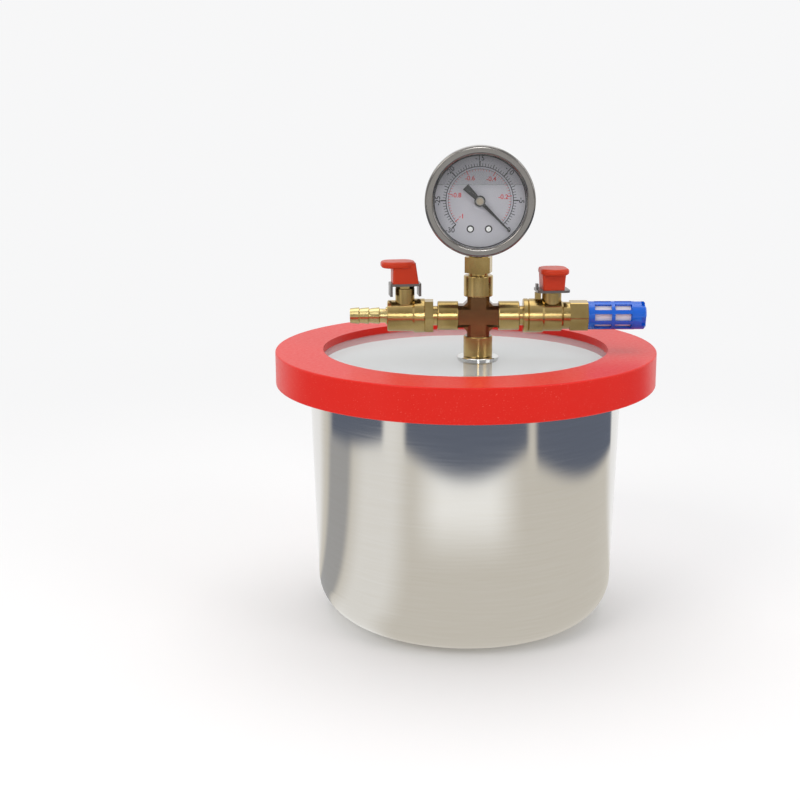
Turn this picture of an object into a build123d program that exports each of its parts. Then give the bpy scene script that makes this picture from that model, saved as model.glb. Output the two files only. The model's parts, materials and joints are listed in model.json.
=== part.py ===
from build123d import *
import math
import os

os.makedirs("parts", exist_ok=True)

# Vacuum degassing chamber.  Millimetres, +Z up, origin on the resting plane at the pot axis.
# +X runs toward the vent filter, the dial faces -Y.

# ---- pot ----
pot_height = 154.7
pot_wall = 1.2
pot_top_inset = 21.8
pot_taper = 4.4
pot_corner_radius = 26.3
pot_flange_bend = 2.2

# ---- lid and its silicone rim ----
rim_outer_radius = 122.0
rim_wall = 8.0
rim_overhang = 10.0
rim_opening_radius = rim_outer_radius - 30.6
rim_top_lip = 4.8
rim_bottom_lip = 4.1
rim_bottom_opening_radius = rim_outer_radius - 25.0
lid_radius = rim_outer_radius - rim_wall
lid_thickness = 12.7
pot_flange_radius = rim_outer_radius - rim_overhang
pot_top_radius = rim_outer_radius - pot_top_inset
pot_base_radius = pot_top_radius - pot_taper
rim_edge_round = 1.0
rim_bottom_z = pot_height
lid_bottom_z = rim_bottom_z + rim_bottom_lip
lid_top_z = lid_bottom_z + lid_thickness
rim_top_z = lid_top_z + rim_top_lip

# ---- centre fitting column ----
column_x = 8.0
column_y = -12.0
pipe_bore_radius = 3.2
pipe_thread_radius = 6.2
thread_clearance = 0.05
socket_radius = pipe_thread_radius + thread_clearance
socket_depth = 10.5
washer_radius = 13.2
washer_thickness = 1.4
stud_seal_radius = 12.0
stud_seal_thickness = 2.0
stud_head_across_flats = 19.0
stud_head_height = 5.0
stud_hole_radius = pipe_thread_radius + 0.4
cross_arm = 25.8
cross_collar_radius = 9.2
cross_collar_length = 13.2
cross_collar_round = 0.7
cross_bar = 14.0
cross_bar_chamfer = 2.2
cross_web_side = 23.2
cross_web_thickness = 10.4
cross_z = lid_top_z + washer_thickness + cross_arm
cross_bottom_z = cross_z - cross_arm
stud_top_z = cross_bottom_z + socket_depth - 1.5

# ---- ball valves, drawn about the ball centre with +X running away from the cross ----
valve_offset = 46.3
cross_face = cross_arm - valve_offset
valve_thread_start = cross_face - socket_depth + 1.5
left_flange_start = -17.9
left_flange_end = -12.8
left_flange_across_flats = 19.4
right_flange_start = -18.1
right_flange_end = -14.8
valve_wide_radius = 10.8
valve_ball_section_radius = 9.85
valve_wide_end = -6.2
valve_shoulder = 1.3
valve_edge_round = 0.5
left_body_end = 11.1
right_section_end = 5.8
right_neck_radius = 8.6
right_neck_end = 11.4
right_hex_across_flats = 17.8
right_body_end = 22.6
right_hex_chamfer_radius = 10.0
insert_radius = 7.4
chamber_radius = 6.2
seat_outer_radius = chamber_radius
seat_face = 5.2
seat_inner_radius = 3.4
seat_inner_face = 3.3
ball_radius = 5.5
ball_bore_radius = 3.0
running_clearance = 0.05
slot_width = 1.8
slot_depth = 1.6
boss_radius = 6.1
left_boss_top = 18.0
right_boss_top = 15.4
stem_radius = 2.5
stem_collar_radius = 4.15
stem_collar_bottom = 8.5
stem_collar_top = 9.9
packing_top = 12.6
gland_hex_across_flats = 10.4
gland_top = 19.4
right_gland_top = right_boss_top
gland_flat_gap = 0.1
plate_bottom = gland_top + gland_flat_gap
right_handle_drop = gland_top - right_gland_top
plate_thickness = 1.5
plate_top = plate_bottom + plate_thickness
stem_square = 3.4
stem_thread_radius = 1.6
stem_top = plate_bottom + 5.4
nut_across_flats = 6.4
nut_height = 2.8
outlet_thread_radius = 5.4
outlet_thread_length = 4.6
stop_post_side = 3.8
stop_post_x = -8.8
stop_post_top = right_boss_top - 0.6

# ---- lever handles ----
left_rest_turn = 8.0
right_rest_turn = -84.0
left_plate_length = 19.6
left_plate_width = 13.6
left_tab_drop = 6.6
right_plate_length = 18.0
right_plate_width = 20.6
right_tab_rise = 3.4
right_tab_width = 3.8
tongue_start = 4.4
tongue_width = 8.0
tongue_top = plate_bottom + 9.8
cap_bottom = plate_top + 0.05
cap_height = 13.9
cap_front = 8.2
cap_back = -8.2
cap_back_lean = 2.1
cap_width_bottom = 13.4
cap_width_top = 15.4
cap_lip_reach = 15.2
cap_lip_width = 18.0
cap_lip_thickness = 4.0
cap_lip_round = 1.6
cap_lip_corner = 7.0
cap_edge_round = 1.2
cap_shoulder = 0.7
cap_hollow_length = 12.4
cap_hollow_width = 9.0
cap_hollow_height = 9.4

# ---- hose barb ----
barb_thread_radius = outlet_thread_radius - thread_clearance
barb_shoulder_radius = 5.6
barb_shoulder_length = 1.0
barb_land_radius = 4.5
barb_crest_radius = 5.3
barb_tip_radius = 4.8
barb_bore_radius = 2.9
barb_length = 22.6
barb_crest_steps = (4.2, 10.8, 17.0)
barb_rise = 5.4
barb_fall = 0.5

# ---- vent filter ----
filter_start = right_body_end + 0.15
filter_radius = 8.95
filter_wall = 1.7
filter_body_length = 29.0
filter_base = 3.6
filter_nipple_length = 9.0
filter_window_count = 8
filter_window_length = 10.5
filter_window_height = 4.3
filter_window_starts = (3.9, 16.6)
filter_cap_radius = filter_radius - 0.15
filter_cap_length = 7.1
filter_cap_spigot = 2.4
filter_cap_notch_width = 6.2
filter_cap_notch_depth = 2.8
filter_cap_notch_radial = 2.6
filter_cap_notch_count = 4
filter_cap_round = 1.0
element_radius = filter_radius - filter_wall - 0.2
element_bore_radius = 3.0

# ---- dial gauge ----
gauge_x = column_x
case_radius = 31.6
gauge_neck_height = 4.2
socket_hex_bottom = cross_z + cross_arm + 1.7
socket_hex_height = 10.0
gauge_z = socket_hex_bottom + socket_hex_height + gauge_neck_height + case_radius
gauge_column_setback = 22.0
gauge_front_y = column_y - gauge_column_setback
gauge_depth = 31.0
gauge_back_y = gauge_front_y + gauge_depth
bezel_radius = case_radius + 2.15
bezel_opening_radius = case_radius - 3.2
bezel_depth = 9.6
bezel_lip = 1.4
bezel_round = 1.3
case_wall = 0.9
case_front_setback = 4.6
case_front_y = gauge_front_y + case_front_setback
case_hole_radius = 6.4
case_back_round = 2.4
lens_radius = case_radius - 0.6
lens_thickness = 2.0
lens_front_y = gauge_front_y + bezel_lip
lens_seal_inner_radius = lens_radius - 2
dial_radius = case_radius - 2
dial_thickness = 0.8
dial_setback = 11.0
dial_y = gauge_front_y + dial_setback
dial_hole_radius = 2.2
dial_screw_x = 5.6
dial_screw_z = -17.4
dial_screw_radius = 1.5
dial_screw_head = 0.9
dial_screw_length = 3.2
dial_screw_slot = 0.5
pointer_setback = 7.2
pointer_y = gauge_front_y + pointer_setback
pointer_thickness = 0.6
pointer_length = 26.0
pointer_tail = 12.4
pointer_tip_width = 0.7
pointer_root_width = 2.4
pointer_tail_width = 4.6
pointer_hub_radius = 3.4
pointer_hub_height = 2.2
pointer_rest_angle = -45.0
arbor_radius = 1.1
arbor_setback = 25.2
arbor_end_y = gauge_front_y + arbor_setback
gear_module = 0.35
pinion_teeth = 14
sector_teeth_full = 70
sector_teeth_cut = 18
gear_face = 2.0
gear_setback = 18.4
gear_y = gauge_front_y + gear_setback
pinion_pitch_radius = gear_module * pinion_teeth / 2
sector_pitch_radius = gear_module * sector_teeth_full / 2
gear_backlash = 0.16
gear_centres = pinion_pitch_radius + sector_pitch_radius + gear_backlash
tooth_depth_out = 0.85 * gear_module
tooth_depth_in = 1.2 * gear_module
tooth_base = 1.7 * gear_module
tooth_height = 2.6 * gear_module
tooth_flank = 76.0
sector_hub_radius = 2.4
sector_thickness = 1.2
sector_tail = 3.4
sector_mid_turn = 5.5 * 360 / sector_teeth_full
pivot_radius = 0.9
movement_plate_thickness = 1.2
movement_front_setback = 14.6
movement_back_setback = 23.0
movement_front_y = gauge_front_y + movement_front_setback
movement_back_y = gauge_front_y + movement_back_setback
movement_width = 20.0
movement_top = 6.0
movement_bottom = -19.5
movement_post_radius = 1.5
socket_hex_across_flats = 16.0
socket_neck_radius = 6.2
socket_block_width = 14.0
socket_block_depth = 9.0
socket_block_top = 9.2 - case_radius
tube_radius = case_radius - 7.6
tube_section_width = 6.4
tube_section_height = 2.8
tube_wall = 0.5
tube_start_angle = -72.0
tube_sweep = 245.0
tube_plane_y = column_y + 0.4
plug_radius = 5.0
plug_head = 1.6
plug_height = case_radius - 12.6
link_width = 1.4
link_thickness = 0.5
link_eye_radius = 1.1
link_clearance = 0.5


# ================= pot, lid and rim =================

with BuildPart() as pot:
    with BuildSketch(Plane.XZ) as pot_profile:
        with BuildLine():
            Polyline(
                (0, 0),
                (pot_base_radius, 0),
                (pot_top_radius, pot_height - pot_wall),
                (pot_flange_radius, pot_height - pot_wall),
                (pot_flange_radius, pot_height),
                (pot_top_radius - pot_wall, pot_height),
                (pot_base_radius - pot_wall, pot_wall),
                (0, pot_wall),
                close=True,
            )
        make_face()
        base_corner = pot_profile.vertices().sort_by_distance((pot_base_radius, 0))[0]
        fillet(base_corner, radius=pot_corner_radius)
        inner_corner = pot_profile.vertices().sort_by_distance((pot_base_radius - pot_wall, pot_wall))[0]
        fillet(inner_corner, radius=pot_corner_radius - pot_wall)
        neck_corner = pot_profile.vertices().sort_by_distance((pot_top_radius, pot_height - pot_wall))[0]
        fillet(neck_corner, radius=pot_flange_bend)
    revolve(axis=Axis.Z)
pot.part.label = "pot"

with BuildPart() as lid_rim:
    with BuildSketch(Plane.XZ) as rim_profile:
        with BuildLine():
            Polyline(
                (rim_bottom_opening_radius, rim_bottom_z),
                (rim_outer_radius, rim_bottom_z),
                (rim_outer_radius, rim_top_z),
                (rim_opening_radius, rim_top_z),
                (rim_opening_radius, lid_top_z),
                (lid_radius, lid_top_z),
                (lid_radius, lid_bottom_z),
                (rim_bottom_opening_radius, lid_bottom_z),
                close=True,
            )
        make_face()
        outer_corners = rim_profile.vertices().group_by(Axis.X)[-1]
        fillet(outer_corners, radius=rim_edge_round)
    revolve(axis=Axis.Z)
lid_rim.part.label = "lid_rim"

with BuildPart() as lid:
    with BuildSketch(Plane.XY.offset(lid_bottom_z)):
        Circle(lid_radius)
        with Locations((column_x, column_y)):
            Circle(stud_hole_radius, mode=Mode.SUBTRACT)
    extrude(amount=lid_thickness)
lid.part.label = "lid"

# ================= hollow stud, washer and seal =================

with BuildPart() as stud_seal:
    with BuildSketch(Plane.XY.offset(lid_bottom_z - stud_seal_thickness)):
        with Locations((column_x, column_y)):
            Circle(stud_seal_radius)
            Circle(pipe_thread_radius + thread_clearance, mode=Mode.SUBTRACT)
    extrude(amount=stud_seal_thickness)
stud_seal.part.label = "stud_seal"

with BuildPart() as stud_washer:
    with BuildSketch(Plane.XY.offset(lid_top_z)):
        with Locations((column_x, column_y)):
            Circle(washer_radius)
            Circle(pipe_thread_radius + thread_clearance, mode=Mode.SUBTRACT)
    extrude(amount=washer_thickness)
    chamfer(stud_washer.edges().group_by(Axis.Z)[-1].sort_by(SortBy.RADIUS)[-1:], length=0.4)
stud_washer.part.label = "stud_washer"

with BuildPart() as stud:
    with BuildSketch(Plane.XY.offset(lid_bottom_z - stud_seal_thickness - stud_head_height)):
        with Locations((column_x, column_y)):
            RegularPolygon(stud_head_across_flats / 2, 6, major_radius=False)
    extrude(amount=stud_head_height)
    with BuildSketch(Plane.XY.offset(lid_bottom_z - stud_seal_thickness)):
        with Locations((column_x, column_y)):
            Circle(pipe_thread_radius)
    extrude(amount=stud_top_z - lid_bottom_z + stud_seal_thickness)
    with BuildSketch(Plane.XY.offset(lid_bottom_z - stud_seal_thickness - stud_head_height)):
        with Locations((column_x, column_y)):
            Circle(pipe_bore_radius)
    extrude(amount=stud_top_z, mode=Mode.SUBTRACT)
stud.part.label = "stud"

# ================= four-way cross =================

with BuildPart() as cross:
    with BuildSketch(Plane.XY.offset(cross_z - cross_arm + 1)):
        with Locations((column_x, column_y)):
            Rectangle(cross_bar, cross_bar)
    extrude(amount=2 * cross_arm - 2)
    with BuildSketch(Plane.YZ.offset(column_x - cross_arm + 1)):
        with Locations((column_y, cross_z)):
            Rectangle(cross_bar, cross_bar)
    extrude(amount=2 * cross_arm - 2)
    bar_edges = cross.edges().filter_by(Axis.Z) + cross.edges().filter_by(Axis.X)
    chamfer(bar_edges, length=cross_bar_chamfer)
    with BuildSketch(Plane.XZ.offset(-column_y - cross_web_thickness / 2)):
        with Locations((column_x, cross_z)):
            Rectangle(cross_web_side, cross_web_side, rotation=45)
    extrude(amount=cross_web_thickness)
    for collar_bottom in (cross_bottom_z, cross_z + cross_arm - cross_collar_length):
        with BuildSketch(Plane.XY.offset(collar_bottom)):
            with Locations((column_x, column_y)):
                Circle(cross_collar_radius)
        extrude(amount=cross_collar_length)
    for collar_start in (column_x - cross_arm, column_x + cross_arm - cross_collar_length):
        with BuildSketch(Plane.YZ.offset(collar_start)):
            with Locations((column_y, cross_z)):
                Circle(cross_collar_radius)
        extrude(amount=cross_collar_length)
    collar_rings = cross.edges().filter_by(GeomType.CIRCLE)
    fillet(collar_rings, radius=cross_collar_round)
    with BuildSketch(Plane.XY.offset(cross_bottom_z)):
        with Locations((column_x, column_y)):
            Circle(pipe_bore_radius)
    extrude(amount=2 * cross_arm, mode=Mode.SUBTRACT)
    with BuildSketch(Plane.YZ.offset(column_x - cross_arm)):
        with Locations((column_y, cross_z)):
            Circle(pipe_bore_radius)
    extrude(amount=2 * cross_arm, mode=Mode.SUBTRACT)
    for socket_bottom in (cross_bottom_z, cross_z + cross_arm - socket_depth):
        with BuildSketch(Plane.XY.offset(socket_bottom)):
            with Locations((column_x, column_y)):
                Circle(socket_radius)
        extrude(amount=socket_depth, mode=Mode.SUBTRACT)
    for socket_start in (column_x - cross_arm, column_x + cross_arm - socket_depth):
        with BuildSketch(Plane.YZ.offset(socket_start)):
            with Locations((column_y, cross_z)):
                Circle(socket_radius)
        extrude(amount=socket_depth, mode=Mode.SUBTRACT)
cross.part.label = "cross"

# ================= valve pieces, drawn about the ball centre =================

with BuildPart() as left_inlet_form:
    with BuildSketch(Plane.XY) as left_inlet_profile:
        with BuildLine():
            Polyline(
                (valve_thread_start, pipe_bore_radius),
                (valve_thread_start, pipe_thread_radius),
                (left_flange_start, pipe_thread_radius),
                (left_flange_end, pipe_thread_radius),
                (left_flange_end, insert_radius),
                (-seat_face, insert_radius),
                (-seat_face, pipe_bore_radius),
                close=True,
            )
        make_face()
    revolve(axis=Axis.X)
    with BuildSketch(Plane.YZ.offset(left_flange_start)):
        RegularPolygon(left_flange_across_flats / 2, 6, major_radius=False)
        Circle(pipe_thread_radius - 1, mode=Mode.SUBTRACT)
    extrude(amount=left_flange_end - left_flange_start)

with BuildPart() as right_inlet_form:
    with BuildSketch(Plane.XY) as right_inlet_profile:
        with BuildLine():
            Polyline(
                (valve_thread_start, pipe_bore_radius),
                (valve_thread_start, pipe_thread_radius),
                (right_flange_start, pipe_thread_radius),
                (right_flange_start, valve_wide_radius - valve_edge_round),
                (right_flange_start + valve_edge_round, valve_wide_radius),
                (right_flange_end - valve_edge_round, valve_wide_radius),
                (right_flange_end, valve_wide_radius - valve_edge_round),
                (right_flange_end, insert_radius),
                (-seat_face, insert_radius),
                (-seat_face, pipe_bore_radius),
                close=True,
            )
        make_face()
    revolve(axis=Axis.X)

with BuildPart() as left_body_form:
    with BuildSketch(Plane.XY):
        with BuildLine():
            Polyline(
                (left_flange_end, 0),
                (left_flange_end, valve_wide_radius - valve_edge_round),
                (left_flange_end + valve_edge_round, valve_wide_radius),
                (valve_wide_end, valve_wide_radius),
                (valve_wide_end + valve_shoulder, valve_ball_section_radius),
                (left_body_end - valve_edge_round, valve_ball_section_radius),
                (left_body_end, valve_ball_section_radius - valve_edge_round),
                (left_body_end, 0),
                close=True,
            )
        make_face()
    revolve(axis=Axis.X)
    with BuildSketch(Plane.XY):
        Circle(boss_radius)
    extrude(amount=left_boss_top)
    chamfer(left_body_form.faces().sort_by(Axis.Z)[-1].edges(), length=valve_edge_round)
    with BuildSketch(Plane.XY):
        with BuildLine():
            Polyline(
                (left_flange_end, 0),
                (left_flange_end, insert_radius + thread_clearance),
                (-seat_face, insert_radius + thread_clearance),
                (-seat_face, chamber_radius),
                (seat_face, chamber_radius),
                (seat_face, pipe_bore_radius),
                (left_body_end - outlet_thread_length, pipe_bore_radius),
                (left_body_end - outlet_thread_length, outlet_thread_radius),
                (left_body_end, outlet_thread_radius),
                (left_body_end, 0),
                close=True,
            )
        make_face()
    revolve(axis=Axis.X, mode=Mode.SUBTRACT)
    with BuildSketch(Plane.XY):
        Circle(stem_radius + running_clearance)
    extrude(amount=left_boss_top, mode=Mode.SUBTRACT)
    with BuildSketch(Plane.XY.offset(stem_collar_bottom - running_clearance)):
        Circle(stem_collar_radius + running_clearance)
    extrude(amount=left_boss_top, mode=Mode.SUBTRACT)

with BuildPart() as right_body_form:
    with BuildSketch(Plane.XY):
        with BuildLine():
            Polyline(
                (right_flange_end, 0),
                (right_flange_end, valve_wide_radius - valve_edge_round),
                (right_flange_end + valve_edge_round, valve_wide_radius),
                (valve_wide_end, valve_wide_radius),
                (valve_wide_end + valve_shoulder, valve_ball_section_radius),
                (right_section_end, valve_ball_section_radius),
                (right_section_end + valve_shoulder, right_neck_radius),
                (right_neck_end, right_neck_radius),
                (right_neck_end, 0),
                close=True,
            )
        make_face()
    revolve(axis=Axis.X)
    with BuildSketch(Plane.YZ.offset(right_neck_end)):
        RegularPolygon(right_hex_across_flats / 2, 6, major_radius=False, rotation=2)
        Circle(right_hex_chamfer_radius, mode=Mode.INTERSECT)
    extrude(amount=right_body_end - right_neck_end)
    with BuildSketch(Plane.XY):
        Circle(boss_radius)
    extrude(amount=right_boss_top)
    chamfer(right_body_form.faces().sort_by(Axis.Z)[-1].edges(), length=valve_edge_round)
    with BuildSketch(Plane.XY):
        with Locations((stop_post_x, 0)):
            Rectangle(stop_post_side, stop_post_side)
    extrude(amount=stop_post_top)
    with BuildSketch(Plane.XY):
        with BuildLine():
            Polyline(
                (right_flange_end, 0),
                (right_flange_end, insert_radius + thread_clearance),
                (-seat_face, insert_radius + thread_clearance),
                (-seat_face, chamber_radius),
                (seat_face, chamber_radius),
                (seat_face, pipe_bore_radius),
                (right_body_end - socket_depth, pipe_bore_radius),
                (right_body_end - socket_depth, socket_radius),
                (right_body_end, socket_radius),
                (right_body_end, 0),
                close=True,
            )
        make_face()
    revolve(axis=Axis.X, mode=Mode.SUBTRACT)
    with BuildSketch(Plane.XY):
        Circle(stem_radius + running_clearance)
    extrude(amount=right_boss_top, mode=Mode.SUBTRACT)
    with BuildSketch(Plane.XY.offset(stem_collar_bottom - running_clearance)):
        Circle(stem_collar_radius + running_clearance)
    extrude(amount=right_boss_top, mode=Mode.SUBTRACT)

with BuildPart() as ball_form:
    Sphere(ball_radius)
    Cylinder(ball_bore_radius, 3 * ball_radius, rotation=(0, 90, 0), mode=Mode.SUBTRACT)
    with Locations((0, 0, ball_radius)):
        Box(2 * ball_radius, slot_width, 2 * slot_depth, mode=Mode.SUBTRACT)

with BuildPart() as seats_form:
    seat_middle = (seat_inner_face + seat_face) / 2
    seat_band = (seat_inner_radius + seat_outer_radius) / 2
    with BuildSketch(Plane.XY):
        with Locations((seat_middle, seat_band), (-seat_middle, seat_band)):
            Rectangle(seat_face - seat_inner_face, seat_outer_radius - seat_inner_radius)
        Circle(ball_radius + running_clearance, mode=Mode.SUBTRACT)
    revolve(axis=Axis.X)

with BuildPart() as left_stem_form:
    with BuildSketch(Plane.XZ):
        with BuildLine():
            Polyline(
                (0, ball_radius),
                (stem_radius, ball_radius),
                (stem_radius, stem_collar_bottom),
                (stem_collar_radius, stem_collar_bottom),
                (stem_collar_radius, stem_collar_top),
                (stem_radius, stem_collar_top),
                (stem_radius, gland_top),
                (stem_thread_radius, gland_top),
                (stem_thread_radius, stem_top),
                (0, stem_top),
                close=True,
            )
        make_face()
    revolve(axis=Axis.Z)
    with BuildSketch(Plane.XY.offset(gland_top)):
        Rectangle(stem_square, stem_square)
    extrude(amount=plate_top - gland_top - 0.1)
    with BuildSketch(Plane.XY.offset(ball_radius - slot_depth + 0.2)):
        Rectangle(2 * stem_radius - 1.2, slot_width - 0.2)
    extrude(amount=slot_depth)

with BuildPart() as right_stem_form:
    with BuildSketch(Plane.XZ):
        with BuildLine():
            Polyline(
                (0, ball_radius),
                (stem_radius, ball_radius),
                (stem_radius, stem_collar_bottom),
                (stem_collar_radius, stem_collar_bottom),
                (stem_collar_radius, stem_collar_top),
                (stem_radius, stem_collar_top),
                (stem_radius, right_gland_top),
                (stem_thread_radius, right_gland_top),
                (stem_thread_radius, stem_top - right_handle_drop),
                (0, stem_top - right_handle_drop),
                close=True,
            )
        make_face()
    revolve(axis=Axis.Z)
    with BuildSketch(Plane.XY.offset(right_gland_top)):
        Rectangle(stem_square, stem_square)
    extrude(amount=plate_top - gland_top - 0.1)
    with BuildSketch(Plane.XY.offset(ball_radius - slot_depth + 0.2)):
        Rectangle(2 * stem_radius - 1.2, slot_width - 0.2)
    extrude(amount=slot_depth)

with BuildPart() as packing_form:
    with BuildSketch(Plane.XY.offset(stem_collar_top + running_clearance)):
        Circle(stem_collar_radius + running_clearance)
        Circle(stem_radius + running_clearance, mode=Mode.SUBTRACT)
    extrude(amount=packing_top - stem_collar_top - running_clearance)

with BuildPart() as left_gland_form:
    with BuildSketch(Plane.XY.offset(packing_top)):
        Circle(stem_collar_radius)
    extrude(amount=left_boss_top - packing_top)
    with BuildSketch(Plane.XY.offset(left_boss_top)):
        RegularPolygon(gland_hex_across_flats / 2, 6, major_radius=False)
    extrude(amount=gland_top - left_boss_top)
    with BuildSketch(Plane.XY.offset(packing_top)):
        Circle(stem_radius + running_clearance)
    extrude(amount=gland_top, mode=Mode.SUBTRACT)

with BuildPart() as right_gland_form:
    with BuildSketch(Plane.XY.offset(packing_top)):
        Circle(stem_collar_radius)
        Circle(stem_radius + running_clearance, mode=Mode.SUBTRACT)
    extrude(amount=right_gland_top - packing_top)

with BuildPart() as left_plate_form:
    with BuildSketch(Plane.XY.offset(plate_bottom)) as left_plate_outline:
        Rectangle(left_plate_length, left_plate_width)
        fillet(left_plate_outline.vertices(), radius=plate_thickness)
        Rectangle(stem_square + 0.2, stem_square + 0.2, mode=Mode.SUBTRACT)
    extrude(amount=plate_thickness)
    tab_centre = left_plate_length / 2 - plate_thickness / 2
    with BuildSketch(Plane.XY.offset(plate_bottom - left_tab_drop)):
        with Locations((-tab_centre, 0), (tab_centre, 0)):
            Rectangle(plate_thickness, left_plate_width - 2 * plate_thickness)
    extrude(amount=left_tab_drop + plate_thickness)
    with BuildSketch(Plane.XY.offset(plate_bottom)):
        with Locations((tongue_start + plate_thickness / 2, 0)):
            Rectangle(plate_thickness, tongue_width)
    extrude(amount=tongue_top - plate_bottom)

with BuildPart() as right_plate_form:
    with BuildSketch(Plane.XY.offset(plate_bottom)) as right_plate_outline:
        Rectangle(right_plate_length, right_plate_width)
        fillet(right_plate_outline.vertices(), radius=2 * plate_thickness)
        Rectangle(stem_square + 0.2, stem_square + 0.2, mode=Mode.SUBTRACT)
    extrude(amount=plate_thickness)
    with BuildSketch(Plane.XY.offset(plate_bottom)):
        with Locations((0, plate_thickness / 2 - right_plate_width / 2)):
            Rectangle(right_tab_width, plate_thickness)
    extrude(amount=right_tab_rise + plate_thickness)
    with BuildSketch(Plane.XY.offset(plate_bottom)):
        with Locations((tongue_start + plate_thickness / 2, 0)):
            Rectangle(plate_thickness, tongue_width)
    extrude(amount=tongue_top - plate_bottom)

with BuildPart() as nut_form:
    with BuildSketch(Plane.XY.offset(plate_top)):
        RegularPolygon(nut_across_flats / 2, 6, major_radius=False)
        Circle(stem_thread_radius, mode=Mode.SUBTRACT)
    extrude(amount=nut_height)

with BuildPart() as cap_form:
    lip_length = cap_lip_reach - cap_back - cap_back_lean
    with BuildSketch(Plane.XY.offset(cap_bottom + cap_height - cap_lip_thickness)):
        with Locations((cap_lip_reach - lip_length / 2, 0)):
            RectangleRounded(lip_length, cap_lip_width, cap_lip_corner)
    extrude(amount=cap_lip_thickness)
    fillet(cap_form.edges().group_by(Axis.Z)[-1], radius=cap_lip_round)
    fillet(cap_form.edges().group_by(Axis.Z)[0], radius=cap_lip_round)
    cap_middle = (cap_front + cap_back) / 2
    with BuildSketch(Plane.XY.offset(cap_bottom)):
        with Locations((cap_middle, 0)):
            RectangleRounded(cap_front - cap_back, cap_width_bottom, cap_edge_round)
    with BuildSketch(Plane.XY.offset(cap_bottom + cap_height - cap_shoulder)):
        with Locations((cap_middle + cap_back_lean / 2, 0)):
            RectangleRounded(cap_front - cap_back - cap_back_lean, cap_width_top, cap_edge_round)
    loft()
    with BuildSketch(Plane.XY.offset(cap_bottom)):
        with Locations((-0.2, 0)):
            Rectangle(cap_hollow_length, cap_hollow_width)
    extrude(amount=cap_hollow_height, mode=Mode.SUBTRACT)

left_place = Location((column_x - valve_offset, column_y, cross_z), (0, 0, 180))
left_turned = Location((column_x - valve_offset, column_y, cross_z), (0, 0, 180 + left_rest_turn))
right_place = Location((column_x + valve_offset, column_y, cross_z))
right_turned = Location((column_x + valve_offset, column_y, cross_z), (0, 0, right_rest_turn))
right_lowered = Location((column_x + valve_offset, column_y, cross_z - right_handle_drop), (0, 0, right_rest_turn))

with BuildPart() as left_inlet:
    add(left_inlet_form.part.moved(left_place))
left_inlet.part.label = "left_inlet"

with BuildPart() as left_body:
    add(left_body_form.part.moved(left_place))
left_body.part.label = "left_body"

with BuildPart() as left_seats:
    add([seat.moved(left_place) for seat in seats_form.solids()])
left_seats.part.label = "left_seats"

with BuildPart() as left_packing:
    add(packing_form.part.moved(left_place))
left_packing.part.label = "left_packing"

with BuildPart() as left_gland:
    add(left_gland_form.part.moved(left_place))
left_gland.part.label = "left_gland"

with BuildPart() as left_ball:
    add(ball_form.part.moved(left_turned))
left_ball.part.label = "left_ball"

with BuildPart() as left_stem:
    add(left_stem_form.part.moved(left_turned))
left_stem.part.label = "left_stem"

with BuildPart() as left_plate:
    add(left_plate_form.part.moved(left_turned))
left_plate.part.label = "left_plate"

with BuildPart() as left_nut:
    add(nut_form.part.moved(left_turned))
left_nut.part.label = "left_nut"

with BuildPart() as left_cap:
    add(cap_form.part.moved(left_turned))
left_cap.part.label = "left_cap"

with BuildPart() as right_inlet:
    add(right_inlet_form.part.moved(right_place))
right_inlet.part.label = "right_inlet"

with BuildPart() as right_body:
    add(right_body_form.part.moved(right_place))
right_body.part.label = "right_body"

with BuildPart() as right_seats:
    add([seat.moved(right_place) for seat in seats_form.solids()])
right_seats.part.label = "right_seats"

with BuildPart() as right_packing:
    add(packing_form.part.moved(right_place))
right_packing.part.label = "right_packing"

with BuildPart() as right_gland:
    add(right_gland_form.part.moved(right_place))
right_gland.part.label = "right_gland"

with BuildPart() as right_ball:
    add(ball_form.part.moved(right_turned))
right_ball.part.label = "right_ball"

with BuildPart() as right_stem:
    add(right_stem_form.part.moved(right_turned))
right_stem.part.label = "right_stem"

with BuildPart() as right_plate:
    add(right_plate_form.part.moved(right_lowered))
right_plate.part.label = "right_plate"

with BuildPart() as right_nut:
    add(nut_form.part.moved(right_lowered))
right_nut.part.label = "right_nut"

with BuildPart() as right_cap:
    add(cap_form.part.moved(right_lowered))
right_cap.part.label = "right_cap"

# ================= hose barb =================

with BuildPart() as barb_form:
    barb_start = left_body_end + 0.1
    barb_end = barb_start + barb_shoulder_length + barb_length
    with BuildSketch(Plane.XY):
        with BuildLine():
            Polyline(
                (left_body_end - outlet_thread_length + 0.2, 0),
                (left_body_end - outlet_thread_length + 0.2, barb_thread_radius),
                (barb_start, barb_thread_radius),
                (barb_start, barb_shoulder_radius),
                (barb_start + barb_shoulder_length, barb_shoulder_radius),
                (barb_start + barb_shoulder_length, barb_land_radius),
                (barb_end, barb_land_radius),
                (barb_end, 0),
                close=True,
            )
        make_face()
    revolve(axis=Axis.X)
    for crest_step in barb_crest_steps:
        crest_x = barb_start + barb_shoulder_length + crest_step
        with BuildSketch(Plane.XY):
            with BuildLine():
                Polyline(
                    (crest_x - barb_fall, 0),
                    (crest_x - barb_fall, barb_land_radius),
                    (crest_x, barb_crest_radius),
                    (crest_x + barb_rise, barb_tip_radius - 0.1),
                    (crest_x + barb_rise, 0),
                    close=True,
                )
            make_face()
        revolve(axis=Axis.X)
    with BuildSketch(Plane.YZ.offset(left_body_end - outlet_thread_length)):
        Circle(barb_bore_radius)
    extrude(amount=barb_end, mode=Mode.SUBTRACT)

with BuildPart() as left_barb:
    add(barb_form.part.moved(left_place))
left_barb.part.label = "left_barb"

# ================= vent filter =================

filter_x = column_x + valve_offset + filter_start

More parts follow.
